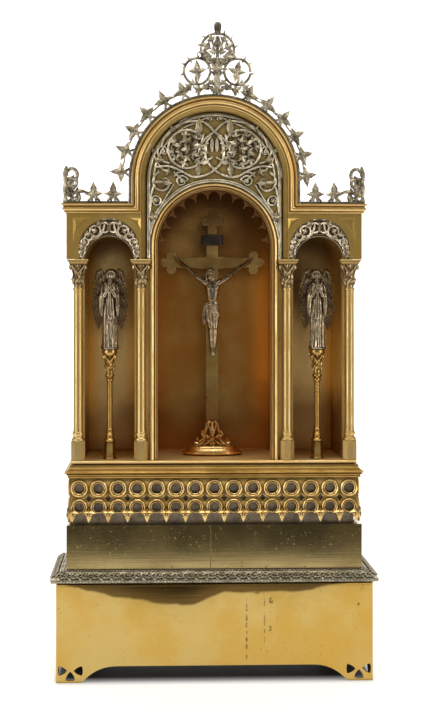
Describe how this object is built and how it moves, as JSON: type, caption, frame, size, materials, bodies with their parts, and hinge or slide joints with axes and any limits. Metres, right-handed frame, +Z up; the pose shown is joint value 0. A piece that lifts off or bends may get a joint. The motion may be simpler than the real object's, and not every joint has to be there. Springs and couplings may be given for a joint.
{
  "type": "home altar",
  "caption": "Three-bay brass home altar on a stepped base, with pierced ring frieze, columns, round arches, leafy silvered cresting, angels on pedestals and a standing crucifix.",
  "frame": {"origin": "centre of the base, at the underside of the feet", "axes": "+Z up along the height; the front faces -Y; +X is the viewer's right when looking at the front"},
  "size_m": [0.45, 0.195, 0.903],
  "materials": {
    "sheet_brass": "polished sheet brass, lacquered, with light pitting and tarnish in the seams",
    "cast_brass": "polished cast and drawn brass, bright on the arrises and darker in the hollows",
    "niche_brass": "satin brass with a warm dark amber tone",
    "silvered_bronze": "old silver plating on cast bronze, olive brown in the recesses",
    "antique_border": "antiqued cast border, dark ground with worn bright relief",
    "dark_patina": "dark brown patina, dull"
  },
  "bodies": {
    "root": {"plinth": "sheet_brass", "tier_box": "sheet_brass", "floor_plate": "sheet_brass", "cabinet_back": "sheet_brass", "side_wall_left": "sheet_brass", "side_wall_right": "sheet_brass", "arch_shell": "sheet_brass", "bay_roof_left": "sheet_brass", "bay_roof_right": "sheet_brass", "pilaster_outer_left": "sheet_brass", "pilaster_inner_left": "sheet_brass", "pilaster_inner_right": "sheet_brass", "pilaster_outer_right": "sheet_brass", "facade": "sheet_brass", "facade_reveal": "sheet_brass", "base_cornice": "cast_brass", "crown_moulding": "cast_brass", "arch_moulding": "cast_brass", "cusped_fringe": "cast_brass", "frieze_front": "cast_brass", "frieze_left": "cast_brass", "frieze_right": "cast_brass", "pedestal_left": "cast_brass", "pedestal_right": "cast_brass", "cross": "cast_brass", "crucifix_foot": "cast_brass", "column_block_outer_left": "cast_brass", "column_block_inner_left": "cast_brass", "column_block_inner_right": "cast_brass", "column_block_outer_right": "cast_brass", "column_outer_left": "cast_brass", "column_inner_left": "cast_brass", "column_inner_right": "cast_brass", "column_outer_right": "cast_brass", "impost_outer_left": "cast_brass", "impost_inner_left": "cast_brass", "impost_inner_right": "cast_brass", "impost_outer_right": "cast_brass", "niche_center": "niche_brass", "niche_left": "niche_brass", "niche_right": "niche_brass", "tympanum_ground": "niche_brass", "tympanum_scrollwork": "silvered_bronze", "archivolt_left": "silvered_bronze", "archivolt_right": "silvered_bronze", "cresting_arch": "silvered_bronze", "cresting_left": "silvered_bronze", "cresting_right": "silvered_bronze", "top_finial": "silvered_bronze", "angel_left": "silvered_bronze", "angel_right": "silvered_bronze", "corpus": "silvered_bronze", "capital_outer_left": "silvered_bronze", "capital_inner_left": "silvered_bronze", "capital_inner_right": "silvered_bronze", "capital_outer_right": "silvered_bronze", "border_band": "antique_border", "frieze_backing": "dark_patina", "title_plaque": "dark_patina"}
  },
  "joints": []
}
